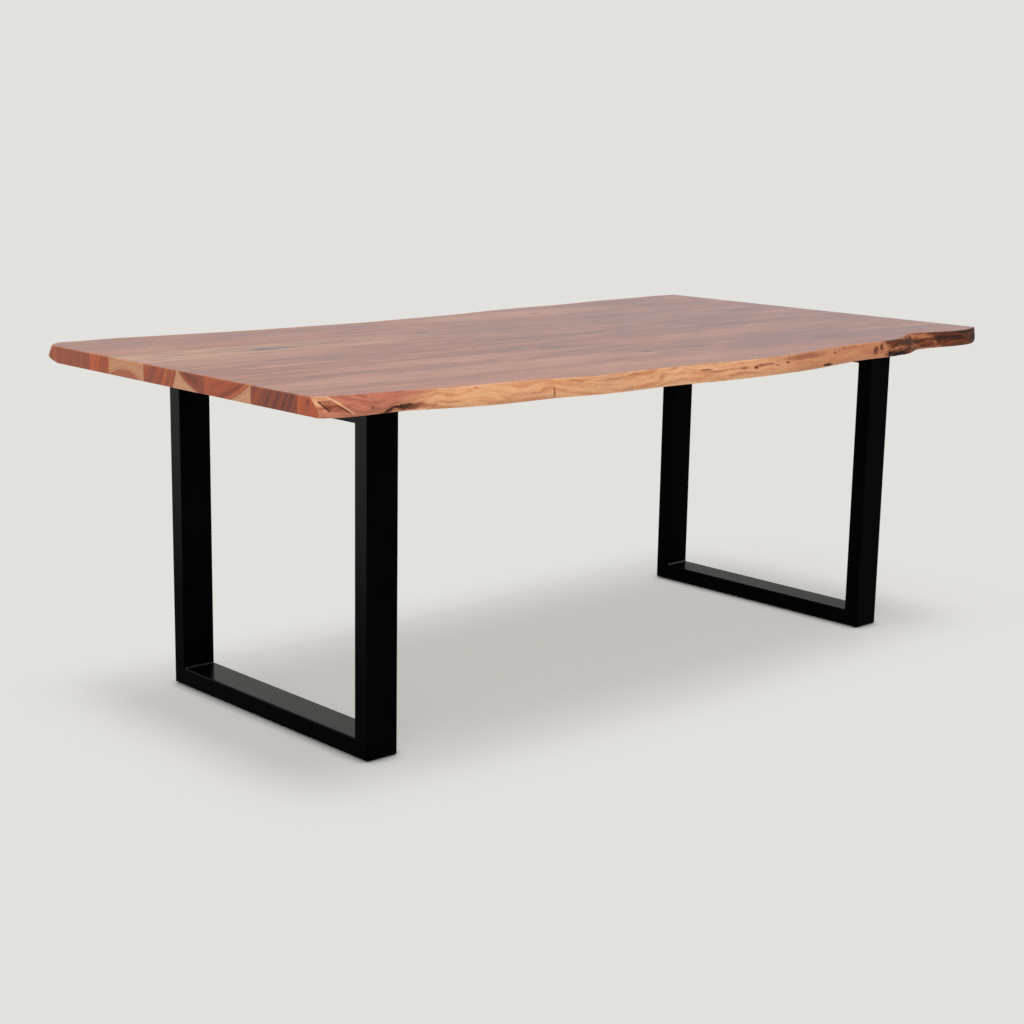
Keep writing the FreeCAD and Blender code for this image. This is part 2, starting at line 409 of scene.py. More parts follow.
@dataclass(frozen=True)
class Wood:
    """One board's timber: growth rings round its piths, pale sapwood outside the heart, a satin lacquer."""

    name: str
    hearts: tuple[Heart, ...]
    heart: Colour
    dark: Colour
    glow: Colour
    shift: tuple[float, float, float]
    streaks: tuple[Streak, ...] = ()
    spots: tuple[Heart, ...] = ()
    knots: tuple[Knot, ...] = ()
    sap: Colour = paint(226, 168, 126)
    sap_dark: Colour = paint(200, 138, 100)
    taper: float = 0.0
    ring_pitch: float = 0.005
    wander: float = 0.03
    own_left: float = 0.4
    own_right: float = 0.2
    face: FaceTone = FaceTone()
    skin: LiveSkin | None = None

    def _from_knot(self, book: NodeBook, spot: Shade, knot: Knot) -> Shade:
        """Distance from a knot's middle: 1 on a ragged ellipse of its half width, stretched along X.

        Args:
            book: The material's page.
            spot: Object coordinates.
            knot: The knot.

        Returns:
            The distance, in half widths.
        """
        x, y, _ = book.split(spot)
        ragged = book.noise(spot * (70.0, 120.0, 40.0), 2.0) - 0.5
        off = diagonal((x - knot.x) / (knot.stretch * knot.half), (y - knot.y) / knot.half)
        return off + ragged * 0.9

    def _growth(self, book: NodeBook, spot: Shade, own: Shade) -> tuple[Shade, Shade, Shade]:
        """Distance beyond the edge of the nearest heart: the distance from its pith line less its reach.

        The coordinates wander first, slowly along the board and faster across it, so that rings run in
        long waves, which grow from the left end on. Near a knot they are drawn to its middle line, so that
        the grain flows round it. The heart widens along X by the taper.

        Args:
            book: The material's page.
            spot: Object coordinates.
            own: The same, shifted for this board.

        Returns:
            The place along the board, the growth distance, negative in the heart, and the zones' tone.
        """
        free = book.split(spot)[0].step(-HALF_LENGTH, -0.3)
        slow = (book.drift(own * (0.9, 5.0, 5.0), 2.0) - 0.5) * (0.0, self.wander, 0.6 * self.wander)
        quick = (book.drift(own * (6.0, 40.0, 40.0), 2.0) - 0.5) * (0.0, 0.005, 0.005)
        wave = (book.drift(own * (3.5, 16.0, 16.0), 3.0) - 0.5) * (0.0, 0.02, 0.012)
        x, y, z = book.split(spot + (slow + wave) * free + quick)
        for knot in self.knots:
            y = y - (y - knot.y) * (self._from_knot(book, spot, knot).step(5.0, 0.0) * 0.8)
        reaches = [heart.off(y, z) - heart.reach for heart in self.hearts]
        growth = reduce(Shade.least, reaches)
        tones = [core.off(y, z).step(core.reach, 0.3 * core.reach) for core in self.spots]
        for heart, reach in zip(self.hearts, reaches):
            nearest = (reach - growth).step(0.003, 0.0)
            for zone in heart.zones:
                inside = abs(reach - zone.middle).step(zone.half, 0.4 * zone.half)
                tones.append(inside * nearest * zone.tone)
        return x, growth - self.taper * (x + HALF_LENGTH), reduce(Shade.__add__, tones)

    def _timber(self, book: NodeBook, place: Shade, own: Shade) -> tuple[Shade, Shade]:
        """Colour of the sawn timber: bands and zones that follow the rings, thin threads, and sapwood.

        Args:
            book: The material's page.
            place: Object coordinates.
            own: The same, shifted for this board.

        Returns:
            The colour, and the grain: 1 on a thread's bright side, less in a ring's late wood.
        """
        along, growth, tone = self._growth(book, place, own)
        z = book.split(place)[2]
        ring = (growth / self.ring_pitch).fraction()
        late = ring.step(0.35, 0.9) * ring.step(1.0, 0.92)
        from_left = along + HALF_LENGTH
        band = book.noise(book.join(from_left * 1.3, growth * 75.0, self.shift[0]), 4.0, 0.6)
        thread = book.noise(book.join(from_left * 2.4, growth * 300.0, z * 14.0), 3.0, 0.65).step(0.25, 0.75)
        fleck = book.noise(own * (4.0, 150.0, 90.0), 4.0, 0.7)
        pale = book.mix(band.step(0.42, 0.66) * 0.35 + late * 0.1 + thread * 0.3, self.sap, self.sap_dark)
        timber = book.layers(
            self.heart,
            (band.step(0.46, 0.7) * 0.55, self.dark),
            (band.step(0.46, 0.28) * 0.55, self.glow),
            (tone, self.dark),
            (0.0 - tone, self.glow),
            (late * 0.25, self.dark),
            (growth.step(-0.0012, 0.0022), pale),
            (fleck.step(0.5, 0.75) * 0.45, self.dark),
        )
        return timber * ((0.62 + thread * 0.42) * (0.62 + fleck * 0.8)), thread * (1.0 - late * 0.6)

    def _long_face(self, book: NodeBook, spot: Shade, own: Shade, timber: Shade) -> Shade:
        """Colour along the grain: one brown for all boards, with part of the board's own timber in it.

        Grey and tan clouds, wisps and dashes, long in X and bent, lie over it, then the board's own
        streaks, which bend with the clouds. Knots are dark, with a darker ring.

        Args:
            book: The material's page.
            spot: Object coordinates.
            own: The same, shifted for this board.
            timber: The board's own colour.

        Returns:
            The colour.
        """
        x, y, _ = book.split(spot)
        tone = self.face
        share = self.own_left + (self.own_right - self.own_left) * x.step(-1.05, -0.1)
        brown = book.mix(x.step(-0.9, 0.7), tone.warm, tone.cool)
        bent = own + (book.drift(own * (3.0, 9.0, 9.0), 3.0) - 0.5) * (0.16, 0.035, 0.0)
        cloud = book.noise(bent * (2.6, 13.0, 13.0), 5.0, 0.62)
        wisp = book.noise(bent * (8.0, 60.0, 60.0), 4.0, 0.62)
        dash = book.noise(bent * (9.0, 120.0, 50.0), 3.0, 0.6)
        bend = (cloud - 0.5) * 0.08
        layers = [
            (share, timber),
            (cloud.step(0.52, 0.72) * 0.55, tone.grey),
            (cloud.step(0.48, 0.3) * 0.6, tone.tan),
            (wisp.step(0.5, 0.68) * 0.55, tone.grey),
            (wisp.step(0.45, 0.3) * 0.25, tone.tan),
            (dash.step(0.54, 0.66) * 0.65, tone.grey),
            (dash.step(0.42, 0.32) * 0.2, tone.tan),
        ]
        for streak in self.streaks:
            run = ((x - streak.x) / streak.length) ** 2.0 + ((y + bend - streak.y) / streak.width) ** 2.0
            over = tone.grey if streak.share > 0 else tone.tan
            layers.append((run.step(1.0, 0.0) * wisp.step(0.3, 0.55) * abs(streak.share), over))
        for knot in self.knots:
            off = self._from_knot(book, spot, knot)
            ring = (off * 3.0).fraction().step(0.1, 0.7)
            core = book.mix(ring * 0.5 + off.step(0.7, 1.05) * 0.5, tone.knot, tone.knot_ring)
            layers += [(off.step(2.6, 0.9) * 0.6, tone.grey), (off.step(1.25, 0.85), core)]
        return book.layers(brown, *layers)

    def _live_skin(
        self, book: NodeBook, spot: Shade, own: Shade, timber: Shade
    ) -> tuple[Shade, Shade, Shade]:
        """Colour of the natural edge over the timber.

        Pale, golden and orange streaks follow the bent grain, a fine curl runs across them, rosy
        heartwood, russet knots, umber weathering and bark lie where the mesh says so, all ragged.

        Args:
            book: The material's page.
            spot: Object coordinates.
            own: The same, shifted for this board.
            timber: The timber's colour.

        Returns:
            The colour, where bark or weathering is, and the streaks.
        """
        skin = self.skin
        x, _, z = book.split(spot)
        bent = own + (book.drift(own * (6.0, 6.0, 10.0), 2.0) - 0.5) * (0.12, 0.0, 0.07)
        flow = book.noise(bent * (7.0, 40.0, 120.0), 5.0, 0.62)
        curl = book.noise(book.join(x * 230.0 + z * 90.0, x * 9.0, z * 40.0), 2.0)
        ragged = book.noise(own * (80.0, 80.0, 150.0), 4.0, 0.65)
        smudge = book.noise(bent * (12.0, 30.0, 90.0), 5.0, 0.68).step(0.54, 0.74)
        weather = book.attribute("weather")
        heartwood = (book.attribute("heartwood") * 1.1 + (flow - 0.5) * 0.8).step(0.15, 0.75)
        weathered = (weather + (flow - 0.5) * 1.1 + (ragged - 0.5) * 0.4).step(0.1, 0.75)
        deep = flow + (weather - 0.9) * 0.14 + (ragged - 0.5) * 0.25
        rough_bark = book.attribute("bark") + (ragged - 0.5) * 0.6
        bark = rough_bark.step(0.1, 0.62)
        colour = book.layers(
            skin.gold,
            (flow.step(0.42, 0.62), skin.orange),
            (flow.step(0.44, 0.28) * 0.7, skin.pale),
            (smudge * 0.7, skin.brown),
            ((weather + 0.6).step(0.0, 0.5) * 0.7, skin.amber),
            (heartwood, book.mix(flow.step(0.46, 0.72), skin.rose, skin.russet)),
            (weathered, book.mix(deep.step(0.3, 0.68), skin.ember, skin.umber)),
            (book.attribute("russet") * (0.6 + ragged * 0.8), skin.russet),
            (book.attribute("pale"), skin.pale),
        )
        colour = colour * ((0.88 + curl * 0.24) * (0.86 + ragged * 0.28))
        colour = book.mix(bark, colour, book.mix(rough_bark.step(0.55, 1.05), skin.crust, skin.bark))
        return book.mix(book.attribute("live"), timber, colour), bark.most(weathered), flow

    def material(self) -> bpy.types.Material:
        """Writes the timber's nodes.

        Returns:
            The material.
        """
        material, book = new_material(self.name)
        spot = book.coordinates()
        own = spot + self.shift
        x, _, z = book.split(spot)
        fibre = book.noise(own * (8.0, 420.0, 420.0), 3.0)
        pore = book.noise(own * (26.0, 1000.0, 1000.0), 1.0).step(0.6, 0.7)
        end = abs(x).step(HALF_LENGTH - 0.0016, HALF_LENGTH - 0.0002)
        arris = (HALF_LENGTH - abs(x)).step(0.005, 0.0) * (TOP_FACE - z).step(0.004, 0.0)
        timber, grain = self._timber(book, spot, own)
        face = self._long_face(book, spot, own, timber) * (0.8 + grain * 0.45)
        colour = book.mix(end, face, timber) * (0.86 + fibre * 0.28) * (1.0 - pore * 0.16)
        colour = book.mix(arris * 0.2, colour, self.sap)
        rough = 0.26 + fibre * 0.08 + end * 0.25 + pore * 0.12
        height = fibre * 0.6 - pore * 0.6
        if self.skin:
            colour, bark, flow = self._live_skin(book, spot, own, colour)
            live = book.attribute("live")
            rough = rough + live * 0.2 + bark * 0.4
            height = height + live * flow * 1.5
        normal = book.relief(height, 0.25, 0.0004)
        book.surface({"Base Color": colour, "Roughness": rough, "Normal": normal, "Specular IOR Level": 0.5})
        return material


@dataclass(frozen=True)
class PowderCoat:
    """Black powder coat on the steel: near black, semi-matt, with a fine orange-peel skin and floor scuffs.

    On the upper faces of the foot rails the coat is rubbed to a shine, with a painted sheen that is stronger
    on the left frame; the outer faces of the frames carry a painted sheen that grows towards the top.
    """

    name: str = "black_powder_coat"
    black: Colour = (0.0008, 0.0008, 0.0010)
    lift: Colour = (0.0018, 0.0018, 0.0022)
    scuff: Colour = (0.03, 0.029, 0.028)
    gloss: float = 0.008
    # roughness of the coat that carries the rubbed wear and the painted sheen
    rub_and_sheen_rough: float = 0.2

    def _rub_and_painted_sheen(self, book: NodeBook, spot: Shade) -> Shade:
        """How much clear coat lies over the powder coat, for rubbed wear and painted sheen.

        On a foot rail that is its upper face between the uprights, rubbed by feet and with a painted sheen
        that is stronger on the left frame, and on the frames their outer faces, a painted sheen that grows
        towards the top.

        Args:
            book: The material's page.
            spot: Object coordinates.

        Returns:
            The share.
        """
        x, y, z = book.split(spot)
        low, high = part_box("left_foot_rail")
        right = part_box("right_foot_rail")[1].x
        front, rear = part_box("left_front_upright")[1].y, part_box("left_rear_upright")[0].y
        middle, half = (front + rear) / 2, (rear - front) / 2
        # the rail tops between the uprights: partly wear from feet, partly a painted sheen, which is stronger
        # on the left frame
        upper = z.step(high.z - 0.003, high.z - 0.0005) * z.step(high.z + 0.0015, high.z + 0.0005)
        trodden_and_sheen = upper * abs(y - middle).step(half + 0.001, half - 0.003)
        # painted sheen: the frames' outer faces get more coat towards the top, which stands in for light, not
        # wear
        outer = (0.0 - x).step(-low.x - 0.001, -low.x - 0.0002) + x.step(right - 0.001, right - 0.0002)
        return trodden_and_sheen * (0.38 - x.step(-0.5, 0.5) * 0.2) + outer * z.step(0.15, 0.75) * 0.4

    def material(self) -> bpy.types.Material:
        """Writes the coat's nodes.

        Returns:
            The material.
        """
        material, book = new_material(self.name)
        spot = book.coordinates()
        z = book.split(spot)[2]
        cloud = book.noise(spot * 7.0, 3.0).step(0.3, 0.7)
        peel = book.noise(spot * 700.0, 2.0)
        scrape = book.noise(spot * (30.0, 30.0, 160.0), 4.0, 0.65).step(0.62, 0.74) * z.step(0.07, 0.012)
        colour = book.mix(cloud, self.black, self.lift)
        colour = book.mix(scrape * 0.5, colour, self.scuff)
        rough = 0.24 + cloud * 0.05 + peel * 0.05 + scrape * 0.2
        normal = book.relief(peel, 0.12, 0.0003)
        # Coat Weight carries the rubbed wear and the painted sheen from the mask above
        book.surface({
            "Base Color": colour, "Roughness": rough, "Normal": normal, "Specular IOR Level": self.gloss,
            "Coat Weight": self._rub_and_painted_sheen(book, spot), "Coat Roughness": self.rub_and_sheen_rough,
        })
        return material


@dataclass(frozen=True)
class Nylon:
    """Black moulded nylon of the glides, worn where it meets the floor."""

    name: str = "black_nylon"
    black: Colour = (0.012, 0.012, 0.013)
    worn: Colour = (0.045, 0.044, 0.043)

    def material(self) -> bpy.types.Material:
        """Writes the nylon's nodes.

        Returns:
            The material.
        """
        material, book = new_material(self.name)
        spot = book.coordinates()
        z = book.split(spot)[2]
        grain = book.noise(spot * 900.0, 3.0)
        wear = z.step(0.0012, 0.0) * book.noise(spot * 240.0, 3.0).step(0.4, 0.7)
        colour = book.mix(wear, self.black, self.worn)
        normal = book.relief(grain, 0.2, 0.0002)
        book.surface({"Base Color": colour, "Roughness": 0.5 + grain * 0.15, "Normal": normal})
        return material


@dataclass(frozen=True)
class PlatedMetal:
    """Bright metal of the fixings, with turning marks and a cloudy skin."""

    name: str
    bright: Colour
    dull: Colour
    rough: float

    def material(self) -> bpy.types.Material:
        """Writes the metal's nodes.

        Returns:
            The material.
        """
        material, book = new_material(self.name)
        spot = book.coordinates()
        cloud = book.noise(spot * 180.0, 4.0, 0.6).step(0.3, 0.7)
        turned = book.noise(spot * (250.0, 250.0, 4200.0), 2.0)
        colour = book.mix(cloud, self.bright, self.dull)
        rough = self.rough + cloud * 0.14 + turned * 0.08
        normal = book.relief(turned, 0.15, 0.0001)
        book.surface({"Base Color": colour, "Metallic": 1.0, "Roughness": rough, "Normal": normal})
        return material


def dress(node: str, material: bpy.types.Material) -> None:
    """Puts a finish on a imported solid.

    Args:
        node: The solid's name.
        material: The finish.
    """
    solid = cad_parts[node]
    if not solid.material_slots:
        solid.data.materials.append(material)
    for place in solid.material_slots:
        place.material = material
    log.info("%s keeps its solid, finish %s", node, material.name)


def new_piece(
    name: str, points: Array, faces: list[list[int]], numbers: Mapping[str, Array], sharp: float
) -> bpy.types.Object:
    """Makes an object from points and faces, with its place in its mesh.

    Args:
        name: The piece's name.
        points: Corners, one row each.
        faces: Corner numbers of each face.
        numbers: Numbers kept on the corners, by name.
        sharp: Angle in degrees past which an edge stays crisp.

    Returns:
        The object, riding on the table's body.
    """
    mesh = bpy.data.meshes.new(name)
    mesh.from_pydata(points.tolist(), [], faces)
    for key, values in numbers.items():
        data = mesh.attributes.new(key, "FLOAT", "POINT").data
        data.foreach_set("value", np.ascontiguousarray(values, np.float32).ravel())
    shape = bmesh.new()
    shape.from_mesh(mesh)
    bmesh.ops.recalc_face_normals(shape, faces=shape.faces)
    shape.to_mesh(mesh)
    shape.free()
    mesh.polygons.foreach_set("use_smooth", np.ones(len(mesh.polygons), bool))
    mesh.set_sharp_from_angle(angle=math.radians(sharp))
    piece = bpy.data.objects.new(name, mesh)
    bpy.context.scene.collection.objects.link(piece)
    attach(piece, "root")
    return piece


def loop_faces(rows: int, columns: int) -> list[list[int]]:
    """Faces of a grid of points whose rows are closed outlines, one section after the other.

    Args:
        rows: Number of sections.
        columns: Points round each section.

    Returns:
        Four corner numbers for each face.
    """
    numbers = np.arange(rows * columns).reshape(rows, columns)
    turned = np.roll(numbers, -1, axis=1)
    quads = np.stack([numbers[:-1], turned[:-1], turned[1:], numbers[1:]], -1)
    return quads.reshape(-1, 4).tolist()


def ladder_faces(first: int, columns: int) -> list[list[int]]:
    """Faces that close a section: each point is joined to the one across, from both ends of the outline.

    Args:
        first: Number of the section's first point.
        columns: Points round the section, an even number.

    Returns:
        Four corner numbers for each face.
    """
    near = np.arange(columns // 2 - 1)
    far = columns - 1 - near
    return (first + np.stack([near, near + 1, far - 1, far], -1)).tolist()


def smooth_line(places: Array, values: Array, at: Array) -> Array:
    """A natural cubic spline: its bends at the given places follow from one banded system.

    Args:
        places: Where the line is known, rising.
        values: Its values there.
        at: Where it is wanted.

    Returns:
        The line's values there.
    """
    gaps = np.diff(places)
    slopes = np.diff(values) / gaps
    system = np.eye(len(places))
    inner = np.arange(1, len(places) - 1)
    system[inner, inner - 1] = gaps[:-1]
    system[inner, inner] = 2 * (gaps[:-1] + gaps[1:])
    system[inner, inner + 1] = gaps[1:]
    right = np.zeros(len(places))
    right[inner] = 6 * np.diff(slopes)
    bends = np.linalg.solve(system, right)
    k = np.clip(np.searchsorted(places, at) - 1, 0, len(gaps) - 1)
    before, after, gap = at - places[k], places[k + 1] - at, gaps[k]
    curved = (bends[k] * after**3 + bends[k + 1] * before**3) / (6 * gap)
    straight = (values[k] / gap - bends[k] * gap / 6) * after
    return curved + straight + (values[k + 1] / gap - bends[k + 1] * gap / 6) * before


def soft_step(values: Array, start: float, end: float) -> Array:
    """A smooth step from 0 at start to 1 at end: 3t squared less 2t cubed."""
    t = np.clip((values - start) / (end - start), 0.0, 1.0)
    return t * t * (3 - 2 * t)


@dataclass(frozen=True)
class Unevenness:
    """Smooth seeded noise over two coordinates, from a lattice that repeats after its size."""

    seed: int
    size: int = 128

    def __call__(self, u: Array, v: Array, layers: int = 3) -> Array:
        """Random corner values of the lattice, joined by smooth weights.

        Each layer is twice as fine as the one before and half as tall.

        Args:
            u: First coordinate, in lattice steps.
            v: Second coordinate.
            layers: Number of layers.

        Returns:
            Heights from about -1 to 1.
        """
        corners = np.random.default_rng(self.seed).uniform(-1.0, 1.0, (self.size, self.size))
        total = np.zeros(np.broadcast(u, v).shape)
        for layer in range(layers):
            a, b = u * 2**layer + 7.3 * layer, v * 2**layer + 3.1 * layer
            i, j = np.floor(a).astype(int), np.floor(b).astype(int)
            p, q = soft_step(a - i, 0.0, 1.0), soft_step(b - j, 0.0, 1.0)
            i, j, next_i, next_j = (n % self.size for n in (i, j, i + 1, j + 1))
            low = corners[i, j] * (1 - p) + corners[next_i, j] * p
            high = corners[i, next_j] * (1 - p) + corners[next_i, next_j] * p
            total += (low * (1 - q) + high * q) / 2**layer
        return total / (2 - 2.0 ** (1 - layers))


@dataclass(frozen=True)
class Mark:
    """A mark on a natural edge: its middle, half its length and height, its strength, depth and lean."""

    kind: MarkKind
    place: float
    height: float
    length: float
    tall: float
    share: float = 0.6
    depth: float = 0.0
    lean: float = 0.0


@dataclass(frozen=True)
class Stub:
    """The sawn foot of a branch: a flat patch with four corners, each a run from the left end and a height.

    The corners go round against the clock. Dark slits lie inside the first side and along the first half
    of the third side, and a pale border lies outside the third side.
    """

    corners: tuple[tuple[float, float], ...]
    depth: float


@dataclass
class EdgeSkin:
    """What the marks and the wood's own unevenness make of a natural edge."""

    dig: Array
    bark: Array
    russet: Array
    weather: Array
    heartwood: Array
    pale: Array

    def lay(self, **shares: Array) -> None:
        """Raises each named share to at least this much."""
        for name, share in shares.items():
            setattr(self, name, np.maximum(getattr(self, name), share))


@dataclass
class NaturalEdge:
    """The natural edge of an outer board: its line in plan, its section, and the marks on it."""

    edge: Edge
    line: tuple[tuple[float, float, float], ...]
    heartwood: tuple[tuple[float, float], ...]
    weather: tuple[tuple[float, float], ...]
    marks: tuple[Mark, ...]
    stub: Stub | None
    widest_height: float
    undercut: float
    half_width: float
    seed: int
    thickness: float = 0.038
    arris: float = 0.0025
    lean_power: float = 1.25
    undercut_power: float = 2.0
    heart_lean: float = 3.5
    left_round: float = 0.0

    def inset(self, place: Array, height: Array) -> Array:
        """How far the edge lies inside the table's half width.

        The plan line, plus its lean times a power of the height over the widest level, plus the undercut
        times the square of the depth under it, plus a quadratic round into the top face, plus a quarter
        circle round the left end's corner.

        Args:
            place: Share of the length, a column.
            height: Height over the underside, a row.

        Returns:
            Metres, one row for each place.
        """
        known = np.array(self.line)
        base = smooth_line(known[:, 0], known[:, 1], place)
        lean = smooth_line(known[:, 0], known[:, 2], place)
        over = np.clip((height - self.widest_height) / (self.thickness - self.widest_height), 0.0, 1.0)
        under = np.clip((self.widest_height - height) / self.widest_height, 0.0, 1.0)
        rounding = np.clip((height - self.thickness + self.arris) / self.arris, 0.0, 1.0)
        shape = base + lean * over**self.lean_power + self.undercut * under**self.undercut_power
        corner = np.clip(1 - 2 * HALF_LENGTH * place / max(self.left_round, 1e-6), 0.0, 1.0)
        return shape + self.arris * rounding**2 + self.left_round * (1 - np.sqrt(1 - corner**2))

    def skin(self, x: Array, height: Array) -> EdgeSkin:
        """Depth and colour shares of the edge: waves, fibre ridges, and each mark round its own middle.

        A mark's distance is 1 on an ellipse of its length and height. Knots are dimples with a low rim,
        bark a ragged rough hollow, cracks a narrow wandering groove, stains and shades soft patches.

        Args:
            x: Places along the table, a column.
            height: Heights over the underside, a row.

        Returns:
            The depth in metres, and the shares of each colour.
        """
        waves = Unevenness(self.seed)(x * 9 + 40, height * 40, 3)
        ridges = Unevenness(self.seed + 1)(x * 14 + 40, height * 420, 2)
        ragged = Unevenness(self.seed + 2)(x * 75 + 90, height * 120, 3)
        chips = Unevenness(self.seed + 3)(x * 210 + 90, height * 260, 2)
        place = x / (2 * HALF_LENGTH) + 0.5
        leaning = place - self.heart_lean * (height - self.thickness / 2) / (2 * HALF_LENGTH)
        known, dim = np.array(self.heartwood), np.array(self.weather)
        heartwood = np.interp(leaning, known[:, 0], known[:, 1])
        weather = np.broadcast_to(np.interp(place, dim[:, 0], dim[:, 1]), heartwood.shape)
        nothing = np.zeros_like(heartwood)
        dig = 0.0009 + 0.0008 * waves + 0.0002 * ridges
        skin = EdgeSkin(dig, nothing, nothing, weather, heartwood, nothing)
        for mark in self.marks:
            up = (height - mark.height) / mark.tall
            middle = (mark.place - 0.5) * 2 * HALF_LENGTH + mark.lean * (height - mark.height)
            sideways = (x - middle) / mark.length
            d = np.hypot(sideways, up)
            if mark.kind is MarkKind.KNOT:
                rim = np.exp(-(((d - 1.2) / 0.3) ** 2))
                skin.dig = skin.dig + mark.depth * (np.exp(-((1.3 * d) ** 2)) - 0.2 * rim)
                skin.lay(russet=1.4 * mark.share * soft_step(d + 0.35 * ragged, 1.3, 0.3))
                skin.lay(bark=0.75 * mark.share * soft_step(d, 0.7, 0.2))
            elif mark.kind is MarkKind.BARK:
                patch = soft_step(d + 0.8 * ragged, 1.2, 0.7)
                skin.dig = skin.dig + mark.depth * patch * (0.65 + 0.5 * ragged + 0.3 * chips)
                skin.lay(bark=patch * mark.share * (1.3 + 0.4 * chips))
                skin.lay(russet=0.6 * soft_step(d + 0.5 * ragged, 1.8, 0.9))
            elif mark.kind is MarkKind.CRACK:
                line = np.exp(-((sideways + 0.9 * ragged) ** 2)) * soft_step(np.abs(up), 1.05, 0.7)
                skin.dig = skin.dig + mark.depth * line
                skin.lay(russet=line, bark=0.9 * line * soft_step(up, 0.9, -0.3))
            elif mark.kind is MarkKind.STAIN:
                skin.lay(russet=mark.share * soft_step(d + 0.5 * ragged, 1.2, 0.3))
            else:
                skin.weather = skin.weather + mark.share * soft_step(d + 0.45 * ragged, 1.3, 0.2)
        if self.stub:
            self._cut_stub(skin, x + HALF_LENGTH, height, ragged)
        skin.dig = np.maximum(skin.dig, 0.0)
        return skin

    def _cut_stub(self, skin: EdgeSkin, run: Array, height: Array, ragged: Array) -> None:
        """Cuts the branch's foot into the skin, from the distance inside each of its four sides.

        Args:
            skin: The skin so far.
            run: Distances from the left end, a column.
            height: Heights over the underside, a row.
            ragged: The edge's small unevenness.
        """
        corners = np.array(self.stub.corners)
        ways = np.roll(corners, -1, axis=0) - corners
        lengths = np.hypot(ways[:, 0], ways[:, 1])
        ways = ways / lengths[:, None]
        inside = [w[0] * (height - c[1]) - w[1] * (run - c[0]) for c, w in zip(corners, ways)]
        down = 1 - ((run - corners[2, 0]) * ways[2, 0] + (height - corners[2, 1]) * ways[2, 1]) / lengths[2]
        within = np.minimum.reduce(inside) + 0.0004 * ragged
        patch = soft_step(within, -0.0004, 0.0006)
        first_slit = np.exp(-(((inside[0] - 0.0014) / 0.0012) ** 2))
        third_slit = np.exp(-(((inside[2] - 0.0013) / 0.0008) ** 2)) * soft_step(down, 0.45, 0.6)
        slit = np.clip(first_slit + third_slit, 0.0, 1.0) * patch
        stripes = 0.5 + 0.5 * np.sin(inside[2] * 2 * math.pi / 0.0034 + 2.5 * ragged)
        border = soft_step(inside[2], -0.0040, -0.002) * soft_step(inside[2], 0.0, -0.0008)
        border = border * soft_step(np.abs(down - 0.5), 0.75, 0.6)
        skin.dig = skin.dig + self.stub.depth * (patch + 1.2 * slit)
        skin.bark = np.maximum(skin.bark * (1 - patch), slit + 0.26 * patch * (1 - 0.5 * stripes))
        skin.russet = np.maximum(skin.russet * (1 - patch), patch * (0.15 + 0.55 * stripes))
        skin.weather = skin.weather * (1 - patch) + patch * (0.18 + 0.3 * stripes)
        skin.lay(pale=0.6 * border)
        beyond = soft_step(inside[2], -0.003, -0.007)
        below = (1 - beyond) * soft_step(height, 0.03, 0.008)
        skin.heartwood = np.clip(skin.heartwood * beyond + 0.25 * (1 - beyond) + 0.4 * below, 0.0, 1.0)


